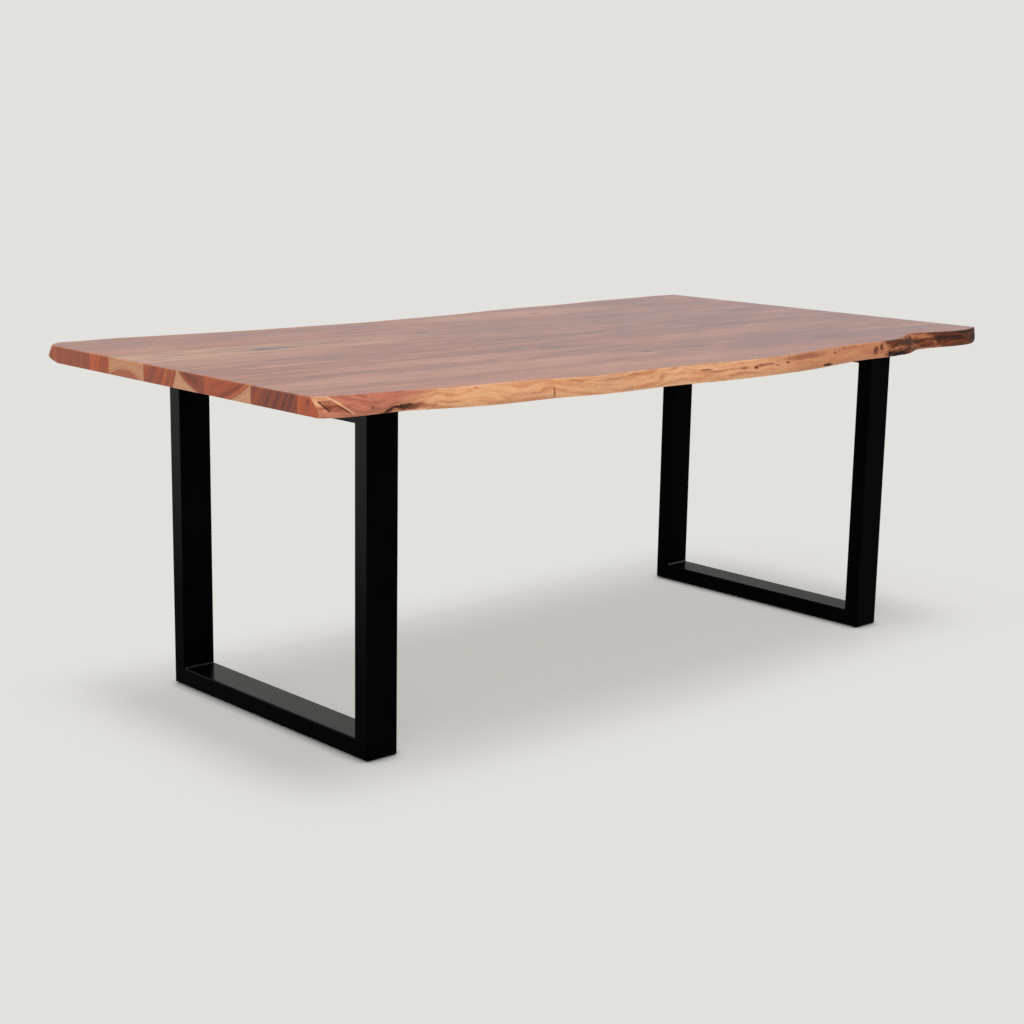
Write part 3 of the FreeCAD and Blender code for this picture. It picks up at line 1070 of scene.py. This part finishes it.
@dataclass
class LiveBoard:
    """An outer board: flat faces, a glue joint, sawn ends and one natural edge."""

    node: str
    slot: str
    natural: NaturalEdge
    sections: int = 1000
    across: int = 12
    levels: int = 52
    end_arris: float = 0.002
    arris_steps: int = 5
    crowding: float = 0.6
    sharp: float = 34.0

    def _sections(self) -> tuple[Array, Array]:
        """Places of the sections along X and how far each outline is drawn in.

        The sections are even along the board, and at both ends a quarter circle rounds the sawn arris.

        Returns:
            X of each section, and the draw, both as columns.
        """
        turn = np.linspace(0.0, math.pi / 2, self.arris_steps)
        rise = -HALF_LENGTH + self.end_arris * (1 - np.cos(turn))
        draw = self.end_arris * (1 - np.sin(turn))
        middle = np.linspace(rise[-1], -rise[-1], self.sections)[1:-1]
        x = np.concatenate([rise, middle, -rise[::-1]])
        return x[:, None], np.concatenate([draw, np.zeros(len(middle)), draw[::-1]])[:, None]

    def build(self, material: bpy.types.Material) -> None:
        """Carries the board's outline along X, and closes both ends.

        Each outline runs over the top face from the glue joint, down the natural edge and back under the
        board, with its levels closer together near both faces: the thickness times half of 1 plus 1.25 c
        less 0.25 c cubed, with c the cosine of half a turn. On both faces its points crowd towards the
        edge. The edge's depth and colours are its skin's.

        Args:
            material: The timber.
        """
        low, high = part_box(self.node)
        sign = self.natural.edge.value
        joint = low.y if sign > 0 else high.y
        x, draw = self._sections()
        place = x / (2 * HALF_LENGTH) + 0.5
        turn = np.cos(np.linspace(0.0, math.pi, self.levels))[None, :]
        height = self.natural.thickness * (0.5 + 0.5 * turn * (1.25 - 0.25 * turn**2))
        skin = self.natural.skin(x, height)
        inset = self.natural.inset(place, height) + skin.dig + draw
        edge_y = sign * (self.natural.half_width - inset)
        edge_z = low.z + height + draw * np.where(height > self.natural.thickness / 2, -1.0, 1.0)
        edge_z = np.clip(edge_z, low.z + draw, high.z - draw)
        lead = np.linspace(0.0, 1.0, self.across, endpoint=False)[None, :] ** self.crowding
        top_y = joint + (edge_y[:, :1] - joint) * lead
        under_y = joint + (edge_y[:, -1:] - joint) * lead[:, ::-1]
        y = np.concatenate([top_y, edge_y, under_y], 1)
        flat = np.ones_like(lead)
        z = np.concatenate([(high.z - draw) * flat, edge_z, (low.z + draw) * flat], 1)
        points = np.stack([np.broadcast_to(x, y.shape), y, z], -1).reshape(-1, 3)
        rows, columns = y.shape
        faces = loop_faces(rows, columns)
        faces += ladder_faces(0, columns) + ladder_faces((rows - 1) * columns, columns)
        nothing = np.zeros((rows, self.across))
        face = np.ones_like(edge_y) * soft_step(draw, self.end_arris * 0.6, 0.0)
        shares = {
            "live": face, "bark": skin.bark * face, "russet": skin.russet, "weather": skin.weather,
            "heartwood": skin.heartwood, "pale": skin.pale,
        }
        numbers = {k: np.concatenate([nothing, v, nothing], 1) for k, v in shares.items()}
        board = new_piece(f"{self.node}_timber", points, faces, numbers, self.sharp)
        board.data.materials.append(material)
        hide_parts(self.node)
        log.info("%s: %d faces, natural edge with %d marks", board.name, len(faces), len(self.natural.marks))


def marks_of(rows: Mapping[MarkKind, tuple[tuple[float, ...], ...]]) -> tuple[Mark, ...]:
    """Makes marks kind by kind, from rows of numbers in the order of a mark's fields."""
    return tuple(Mark(kind, *row) for kind, group in rows.items() for row in group)


def front_edge() -> NaturalEdge:
    """The front natural edge, with its marks of each kind from left to right.

    Returns:
        The edge.
    """
    line = (
        (-0.03, 0.140, 0.026), (0.0, 0.105, 0.026), (0.012, 0.092, 0.026), (0.045, 0.082, 0.020),
        (0.085, 0.082, 0.006), (0.12, 0.063, 0.012), (0.16, 0.042, 0.024), (0.20, 0.034, 0.027),
        (0.255, 0.031, 0.014), (0.30, 0.016, 0.008), (0.36, 0.014, 0.014), (0.43, 0.011, 0.013),
        (0.48, 0.001, 0.016), (0.56, 0.0, 0.012), (0.61, 0.007, 0.017), (0.66, 0.023, 0.018),
        (0.745, 0.049, 0.012), (0.785, 0.048, 0.011), (0.84, 0.072, 0.024), (0.86, 0.092, 0.029),
        (0.90, 0.099, 0.014), (0.98, 0.100, 0.005), (1.0, 0.122, 0.004), (1.03, 0.165, 0.004),
    )
    heartwood = (
        (0.0, 0.75), (0.012, 0.75), (0.03, 0.9), (0.055, 0.95), (0.072, 0.65), (0.095, 0.3), (0.13, 0.1),
        (0.17, 0.0), (0.55, 0.0), (0.6, 0.1), (0.7, 0.1), (0.76, 0.3), (0.85, 0.3), (1.0, 0.3),
    )
    weather = (
        (0.0, -0.6), (0.52, -0.6), (0.6, -0.2), (0.735, -0.15), (0.77, 0.1), (0.787, 0.42), (0.83, 0.5),
        (0.86, 0.5), (0.905, 0.55), (0.925, 0.85), (0.96, 1.0), (1.0, 1.2),
    )
    marks = marks_of({
        MarkKind.KNOT: (
            (0.052, 0.0125, 0.0028, 0.0036, 0.8, 0.0012), (0.452, 0.0265, 0.019, 0.0022, 0.6, 0.0012),
            (0.5045, 0.0225, 0.016, 0.0030, 0.5, 0.001, 1.0),
            (0.523, 0.0215, 0.009, 0.0036, 0.75, 0.0015, 0.5),
            (0.558, 0.0215, 0.010, 0.0014, 0.6, 0.0008), (0.5765, 0.0235, 0.009, 0.0032, 0.65, 0.0014),
            (0.675, 0.0275, 0.010, 0.0036, 0.6, 0.0014, 0.8),
            (0.6855, 0.0295, 0.0045, 0.0025, 0.7, 0.0012),
        ),
        MarkKind.BARK: (
            (0.0705, 0.0048, 0.009, 0.0060, 0.56, 0.003, 2.2), (0.081, 0.0094, 0.018, 0.0034, 0.6, 0.004),
            (0.0915, 0.0088, 0.032, 0.0058, 0.38, 0.002), (0.652, 0.0055, 0.016, 0.0028, 0.8, 0.002),
            (0.7575, 0.019, 0.010, 0.008, 0.36, 0.002, 0.6),
            (0.7685, 0.0235, 0.007, 0.009, 0.45, 0.003, 0.4), (0.785, 0.007, 0.020, 0.007, 0.66, 0.006),
            (0.788, 0.0365, 0.030, 0.0026, 0.5, 0.002), (0.804, 0.005, 0.028, 0.006, 0.72, 0.007),
            (0.818, 0.0095, 0.022, 0.004, 0.5, 0.004),
        ),
        MarkKind.CRACK: (
            (0.2495, 0.0115, 0.0013, 0.0098, 0.6, 0.003, 0.3),
        ),
        MarkKind.STAIN: (
            (0.088, 0.0105, 0.06, 0.007, 0.45), (0.1635, 0.0345, 0.007, 0.0013, 0.8),
            (0.206, 0.0155, 0.04, 0.004, 0.3), (0.27, 0.032, 0.03, 0.0025, 0.25),
            (0.317, 0.0285, 0.045, 0.003, 0.4), (0.352, 0.0325, 0.04, 0.0025, 0.35),
            (0.475, 0.0225, 0.05, 0.0022, 0.35, 0.0, 5.0), (0.495, 0.012, 0.06, 0.0025, 0.3, 0.0, 6.0),
            (0.538, 0.0255, 0.034, 0.0036, 0.9, 0.0, 2.0), (0.615, 0.031, 0.10, 0.007, 0.7),
            (0.705, 0.033, 0.07, 0.004, 0.55), (0.735, 0.020, 0.03, 0.003, 0.3),
        ),
        MarkKind.SHADE: (
            (0.090, 0.0085, 0.055, 0.0075, 0.85), (0.803, 0.031, 0.060, 0.010, 0.7),
            (0.805, 0.007, 0.060, 0.010, 0.7), (0.843, 0.026, 0.075, 0.009, 0.75, 0.0, -3.0),
            (0.883, 0.012, 0.045, 0.009, 0.7, 0.0, -2.0), (0.914, 0.024, 0.022, 0.014),
            (0.93, 0.026, 0.05, 0.012, 0.7), (0.945, 0.024, 0.045, 0.018), (0.985, 0.019, 0.045, 0.028),
        ),
    })
    stub = Stub(((0.007, 0.0295), (0.019, 0.0115), (0.061, 0.0075), (0.032, 0.0315)), 0.0016)
    return NaturalEdge(
        Edge.FRONT, line, heartwood, weather, marks, stub,
        widest_height=0.009, undercut=0.003, half_width=0.61, seed=11,
    )


def rear_edge() -> NaturalEdge:
    """The rear natural edge; only its left end shows in front, so its marks are like the front's.

    Returns:
        The edge.
    """
    lean = 0.016
    plan = (
        (-0.03, 0.160), (0.0, 0.101), (0.012, 0.071), (0.035, 0.063), (0.07, 0.062), (0.125, 0.069),
        (0.185, 0.084), (0.245, 0.097), (0.31, 0.101), (0.41, 0.108), (0.49, 0.096), (0.57, 0.082),
        (0.62, 0.063), (0.71, 0.045), (0.76, 0.040), (0.86, 0.014), (0.91, 0.010), (0.96, 0.0),
        (1.0, 0.005), (1.03, 0.012),
    )
    heartwood = (
        (0.0, 0.9), (0.05, 0.7), (0.12, 0.1), (0.3, 0.0), (0.52, 0.1), (0.58, 0.5), (0.66, 0.0), (1.0, 0.2),
    )
    weather = ((0.0, -0.5), (0.36, -0.5), (0.41, 0.1), (0.46, 0.1), (0.5, -0.5), (0.9, -0.5), (1.0, 0.0))
    marks = marks_of({
        MarkKind.KNOT: (
            (0.135, 0.018, 0.010, 0.006, 0.6, 0.003), (0.575, 0.022, 0.018, 0.007, 0.8, 0.004),
            (0.775, 0.013, 0.008, 0.004, 0.6, 0.002),
        ),
        MarkKind.BARK: (
            (0.42, 0.011, 0.060, 0.008, 0.55, 0.004), (0.83, 0.019, 0.030, 0.005, 0.4, 0.002, 2.5),
        ),
        MarkKind.CRACK: (
            (0.335, 0.021, 0.0016, 0.012, 0.6, 0.004, 0.3),
        ),
        MarkKind.STAIN: (
            (0.05, 0.022, 0.06, 0.008), (0.26, 0.012, 0.08, 0.006), (0.5, 0.02, 0.09, 0.008),
            (0.64, 0.031, 0.05, 0.005), (0.70, 0.030, 0.05, 0.004), (0.9, 0.014, 0.07, 0.007),
        ),
        MarkKind.SHADE: (
            (0.21, 0.030, 0.07, 0.007, 0.8, 0.0, 2.0), (0.45, 0.024, 0.070, 0.009),
            (0.955, 0.030, 0.06, 0.007, 0.8),
        ),
    })
    return NaturalEdge(
        Edge.REAR, tuple((place, inset, lean) for place, inset in plan), heartwood, weather, marks, None,
        widest_height=0.013, undercut=0.040, half_width=0.609, seed=23, left_round=0.009,
    )


@dataclass
class TableTop:
    """The top: seven boards glued edge to edge, each with its own timber."""

    rear: LiveBoard
    front: LiveBoard
    skin: LiveSkin

    def timbers(self) -> dict[str, Wood]:
        """The boards' timbers, from the rear to the front, drawn after the sawn left end.

        Returns:
            A timber for each board's node.
        """
        brown = Wood(
            "brown_red_wood", (Heart(0.16, 0.79, 0.43, (Zone(-0.10, 0.035, -0.5),)),),
            paint(168, 86, 60), paint(136, 70, 52), paint(190, 96, 60), (3.1, 0.4, 0.2),
            own_left=0.25, skin=self.skin, knots=(Knot(0.33, 0.41, 0.007),),
            streaks=(Streak(0.25, 0.42, 0.5, 0.09, -0.6),),
        )
        orange = Wood(
            "orange_red_wood", (Heart(0.62, 0.82, 0.8, (Zone(-0.441, 0.022, 0.55),)),),
            paint(200, 98, 54), paint(160, 76, 50), paint(212, 110, 60), (7.7, 1.9, 0.6), own_left=0.7,
            streaks=(Streak(-0.30, 0.285, 0.20, 0.025, -0.3), Streak(0.5, 0.26, 0.3, 0.03, 0.4)),
        )
        pale = Wood(
            "pale_wood_with_red_heart", (Heart(0.180, 0.623, 0.125, (Zone(-0.014, 0.012, -0.2),)),),
            paint(188, 104, 74), paint(152, 78, 58), paint(200, 116, 80), (1.3, 5.2, 2.2),
            knots=(Knot(-0.735, 0.171, 0.009), Knot(-0.235, 0.212, 0.006)),
            sap=paint(220, 158, 114), sap_dark=paint(194, 132, 94), taper=0.012, own_left=0.8, own_right=0.1,
            streaks=(
                Streak(-0.71, 0.169, 0.12, 0.03, 0.9), Streak(-0.29, 0.12, 0.08, 0.02, 0.45),
                Streak(-0.37, 0.2, 0.25, 0.02, -0.4), Streak(0.53, 0.225, 0.17, 0.03, 0.5),
            ),
        )
        sided = Wood(
            "brown_red_wood_with_sapwood",
            (
                Heart(0.217, 0.842, 0.25, (
                    Zone(-0.034, 0.005, -0.8), Zone(-0.012, 0.004, -0.7), Zone(-0.075, 0.01, 0.4),
                )),
                Heart(-0.1335, 0.894, 0.164, (Zone(-0.019, 0.013, 0.8),)),
            ),
            paint(178, 88, 56), paint(124, 58, 42), paint(208, 114, 66), (12.4, 2.8, 1.7), wander=0.02,
            streaks=(
                Streak(0.35, 0.0, 0.78, 0.02, 0.5), Streak(-0.98, -0.083, 0.09, 0.009, 0.8),
                Streak(-0.85, 0.06, 0.36, 0.06, -0.5), Streak(0.27, 0.085, 0.26, 0.03, -0.35),
            ),
        )
        striped = Wood(
            "striped_red_wood",
            (
                Heart(0.12, 0.751, 0.31, (Zone(-0.078, 0.013, 0.55), Zone(-0.004, 0.002, -0.9))),
                Heart(-0.0094, 1.186, 0.5, (Zone(-0.0055, 0.0036, -0.8), Zone(-0.015, 0.0055, 0.7))),
            ),
            paint(188, 92, 56), paint(132, 62, 44), paint(214, 120, 70), (4.6, 8.3, 3.9), wander=0.02,
            streaks=(
                Streak(-0.5, -0.16, 0.26, 0.02, 0.3), Streak(-0.5, -0.22, 0.5, 0.05, -0.5),
                Streak(0.3, -0.2, 0.5, 0.06, -0.4),
            ),
        )
        dark = Wood(
            "dark_brown_wood",
            (Heart(-0.105, 0.907, 0.6, (
                Zone(-0.348, 0.014, -0.55), Zone(-0.316, 0.005, 0.4), Zone(-0.292, 0.007, 0.6),
                Zone(-0.268, 0.006, 0.6), Zone(-0.252, 0.006, 0.75),
            )),),
            paint(154, 74, 52), paint(98, 50, 42), paint(180, 90, 56), (9.9, 3.3, 5.1), own_left=0.15,
            knots=(Knot(-0.04, -0.352, 0.008),),
            streaks=(Streak(-0.6, -0.36, 0.8, 0.08, -0.7), Streak(0.0, -0.345, 0.22, 0.04, 0.4)),
        )
        front = Wood(
            "orange_wood", (Heart(-0.25, 0.80, 0.31, (Zone(-0.11, 0.015, -0.3),)),),
            paint(196, 96, 56), paint(146, 68, 46), paint(210, 112, 64), (6.2, 6.6, 0.9), own_left=0.25,
            spots=(Heart(-0.472, 0.757, 0.009),), skin=self.skin,
            streaks=(Streak(-0.3, -0.5, 0.95, 0.08, -0.5),),
        )
        names = ["rear_live_edge_board", *(f"top_board_{k}" for k in range(2, 7)), "front_live_edge_board"]
        return dict(zip(names, (brown, orange, pale, sided, striped, dark, front)))

    def build(self) -> None:
        """Makes the two outer boards and gives every board its timber."""
        timbers = {node: wood.material() for node, wood in self.timbers().items()}
        for board in (self.rear, self.front):
            board.build(timbers.pop(board.node))
        for node, material in timbers.items():
            dress(node, material)


@dataclass
class LegFrame:
    """A closed frame of four mitred tubes, with weld beads in its inner corners, glides and bolts."""

    side: Side
    coat: bpy.types.Material
    bead_coat: bpy.types.Material
    leg: float = 0.004
    crown: float = 0.0007
    ripple_pitch: float = 0.0034
    ripple: float = 0.10
    root: float = 0.0003
    along: int = 120
    around: int = 14
    sharp: float = 60.0
    seed: int = 31

    def _bead(
        self, start: float, end: float, corner: tuple[float, float], way: tuple[int, int], seed: int
    ) -> Array:
        """One fillet weld along X in an inner corner.

        The section is a straight fillet with a crown: the leg over cosine plus sine, plus the crown times
        the sine of twice the angle. Along the bead it swells in ripples that trail at both toes, wanders a
        little, and runs out round at its ends.

        Args:
            start: Where the bead starts along X.
            end: Where it ends.
            corner: Y and Z of the corner.
            way: Which way the two legs run along Y and Z.
            seed: Seed of its unevenness.

        Returns:
            The points, one section after the other.
        """
        s = np.linspace(0.0, 1.0, self.along)[:, None]
        angle = np.linspace(0.0, math.pi / 2, self.around - 1)[None, :]
        x = start + (end - start) * s
        past = np.clip(np.abs(2 * s - 1) - 0.94, 0, 1) / 0.06
        run_out = np.sqrt(np.clip(1 - past**2, 0.02, 1))
        trail = 0.8 * np.cos(2 * angle) ** 2
        wave = np.abs(np.sin(math.pi * (x - start) / self.ripple_pitch + trail)) - 0.5
        uneven = Unevenness(seed)(s * 17, angle * 2, 2)
        reach = self.leg / (np.cos(angle) + np.sin(angle)) + self.crown * np.sin(2 * angle)
        reach = reach * (1 + self.ripple * wave * np.sin(2 * angle) ** 0.5 + 0.07 * uneven) * run_out
        y = corner[0] + way[0] * reach * np.cos(angle)
        z = corner[1] + way[1] * reach * np.sin(angle)
        root = np.full_like(s, self.root)
        y = np.concatenate([corner[0] - way[0] * root, y], 1)
        z = np.concatenate([corner[1] - way[1] * root, z], 1)
        return np.stack([np.broadcast_to(x, y.shape), y, z], -1).reshape(-1, 3)

    def welds(self) -> None:
        """Makes the four beads of the frame's inner corners."""
        name = self.side.value
        start, end = (corner.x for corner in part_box(f"{name}_corner_welds"))
        floor_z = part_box(f"{name}_foot_rail")[1].z
        roof_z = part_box(f"{name}_top_rail")[0].z
        front_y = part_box(f"{name}_front_upright")[1].y
        rear_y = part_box(f"{name}_rear_upright")[0].y
        corners = (((front_y, floor_z), (1, 1)), ((rear_y, floor_z), (-1, 1)),
                   ((front_y, roof_z), (1, -1)), ((rear_y, roof_z), (-1, -1)))
        beads = [self._bead(start, end, at, way, self.seed + k) for k, (at, way) in enumerate(corners)]
        size = self.along * self.around
        section = np.arange(self.around)
        faces: list[list[int]] = []
        for k in range(len(beads)):
            sides = np.array(loop_faces(self.along, self.around)) + k * size
            caps = [(k * size + section).tolist(), ((k + 1) * size - 1 - section).tolist()]
            faces += sides.tolist() + caps
        piece = new_piece(f"{name}_weld_beads", np.concatenate(beads), faces, {}, self.sharp)
        piece.data.materials.append(self.bead_coat)
        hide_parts(f"{name}_corner_welds")
        log.info("%s: four rippled beads", piece.name)

    def build(self, nylon: bpy.types.Material, zinc: bpy.types.Material, brass: bpy.types.Material) -> None:
        """Dresses the tubes, glides and fixings, and lays the weld beads.

        Args:
            nylon: Finish of the glides.
            zinc: Finish of the bolts and washers.
            brass: Finish of the threaded inserts.
        """
        finishes = dict.fromkeys(("foot_rail", "top_rail", "front_upright", "rear_upright"), self.coat)
        finishes |= {"glides": nylon, "top_bolts": zinc, "bolt_washers": zinc, "threaded_inserts": brass}
        for node, material in finishes.items():
            dress(f"{self.side.value}_{node}", material)
        self.welds()


@dataclass
class Studio:
    """A plain pale floor and backdrop, soft light from above, and the camera."""

    backdrop: Colour = paint(226, 225, 221)
    eye: tuple[float, float, float] = (-3.1003, -3.2277, 1.2746)
    yaw: float = 42.719
    pitch: float = 11.939
    roll: float = 1.023
    lens: float = 64.81
    sensor: float = 36.0
    farthest: float = 200.0
    sky: float = 0.22
    shadow_share: float = 0.4
    shadow_middle: tuple[float, float] = (0.065, -0.085)
    shadow_core: tuple[float, float] = (1.09, 0.2)
    shadow_rim: tuple[float, float] = (1.42, 0.72)
    contact: float = 0.04
    contact_fade: tuple[float, float] = (0.3, 0.95)
    floor_reach: float = 60.0

    def _floor(self) -> None:
        """Lays the floor.

        It shows its plain colour, but under the table a share of its own shading, which fades out over a
        rim, and where something touches it all of its own shading.
        """
        mesh = bpy.data.meshes.new("floor")
        reach = self.floor_reach
        corners = [(-reach, -reach, 0.0), (reach, -reach, 0.0), (reach, reach, 0.0), (-reach, reach, 0.0)]
        mesh.from_pydata(corners, [], [(0, 1, 2, 3)])
        floor = bpy.data.objects.new("floor", mesh)
        bpy.context.scene.collection.objects.link(floor)
        material, book = new_material("studio_floor")
        spot = book.coordinates()
        x, y, _ = book.split(spot)
        across = abs(x - self.shadow_middle[0]).step(self.shadow_rim[0], self.shadow_core[0])
        under = across * abs(y - self.shadow_middle[1]).step(self.shadow_rim[1], self.shadow_core[1])
        plain = book.to_eye() * (1.0 - self.shadow_share * under)
        nearby = book.add("ShaderNodeAmbientOcclusion", {"samples": 8}, {"Distance": self.contact}, out="AO")
        plain = plain * nearby.step(*self.contact_fade)
        matt = book.add("ShaderNodeBsdfDiffuse", None, {"Color": self.backdrop})
        glow = book.add("ShaderNodeEmission", None, {"Color": self.backdrop, "Strength": 1.0})
        shader = book.add("ShaderNodeMixShader", None, {0: plain, 1: matt, 2: glow})
        book.end("ShaderNodeOutputMaterial", shader)
        mesh.materials.append(material)

    def _world(self) -> None:
        """Sets the even light, and the backdrop that the camera and glossy surfaces see."""
        world = bpy.data.worlds.new("studio")
        bpy.context.scene.world = world
        world.use_nodes = True
        book = NodeBook(world.node_tree)
        light = book.add("ShaderNodeBackground", None, {"Color": (1.0, 1.0, 1.0), "Strength": self.sky})
        paper = book.add("ShaderNodeBackground", None, {"Color": self.backdrop, "Strength": 1.0})
        shader = book.add("ShaderNodeMixShader", None, {0: book.to_eye(), 1: light, 2: paper})
        book.end("ShaderNodeOutputWorld", shader)

    def _lamp(self, name: str, towards: tuple[float, float, float], level: float, spread: float) -> None:
        """Hangs one wide soft lamp, which glossy faces don't show.

        Args:
            name: Its name.
            towards: The way to the lamp from the table.
            level: Its light on a face that looks at it, where 1 shows a colour as it is.
            spread: How wide it looks, in degrees.
        """
        lamp = bpy.data.lights.new(name, "SUN")
        lamp.energy = level * math.pi
        lamp.angle = math.radians(spread)
        holder = bpy.data.objects.new(name, lamp)
        holder.rotation_euler = Vector(towards).to_track_quat("Z", "Y").to_euler()
        holder.visible_glossy = False
        bpy.context.scene.collection.objects.link(holder)

    def _camera(self) -> None:
        """Sets the camera: yaw from +Y towards +X, then down by the pitch, then turned by the roll."""
        yaw, pitch, roll = (math.radians(a) for a in (self.yaw, self.pitch, self.roll))
        forward = Vector((math.sin(yaw) * math.cos(pitch), math.cos(yaw) * math.cos(pitch), -math.sin(pitch)))
        right = Vector((math.cos(yaw), -math.sin(yaw), 0.0))
        up = right.cross(forward)
        level_right = math.cos(roll) * right + math.sin(roll) * up
        level_up = math.cos(roll) * up - math.sin(roll) * right
        data = bpy.data.cameras.new("camera")
        data.sensor_width = self.sensor
        data.lens = self.lens
        data.clip_end = self.farthest
        camera = bpy.data.objects.new("camera", data)
        turn = Matrix((level_right, level_up, -forward)).transposed().to_4x4()
        camera.matrix_world = Matrix.Translation(self.eye) @ turn
        bpy.context.scene.collection.objects.link(camera)
        bpy.context.scene.camera = camera

    def build(self) -> None:
        """Sets up floor, light and camera."""
        bpy.context.scene.view_settings.view_transform = "Standard"
        self._floor()
        self._world()
        self._lamp("overhead", (0.08, 0.06, 1.0), level=0.62, spread=20.0)
        self._lamp("front_left", (-0.72, -0.6, 0.2), level=0.6, spread=40.0)
        self._camera()
        log.info("studio: floor, world, two lamps, camera")


def main() -> None:
    """Builds the studio, the top and the two frames, in that order."""
    logging.basicConfig(level=logging.INFO, format="%(message)s")
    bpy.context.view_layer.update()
    Studio().build()
    top = TableTop(
        LiveBoard("rear_live_edge_board", "brown_wood", rear_edge()),
        LiveBoard("front_live_edge_board", "orange_wood", front_edge()),
        LiveSkin(),
    )
    top.build()
    coat = PowderCoat().material()
    bead_coat = PowderCoat("black_powder_coat_on_welds", gloss=0.35).material()
    nylon = Nylon().material()
    zinc = PlatedMetal("zinc_plated_steel", (0.62, 0.63, 0.66), (0.44, 0.45, 0.48), 0.28).material()
    brass = PlatedMetal("brass", (0.78, 0.57, 0.27), (0.55, 0.39, 0.18), 0.3).material()
    for side in Side:
        LegFrame(side, coat, bead_coat).build(nylon, zinc, brass)


if __name__ == "__main__":
    main()
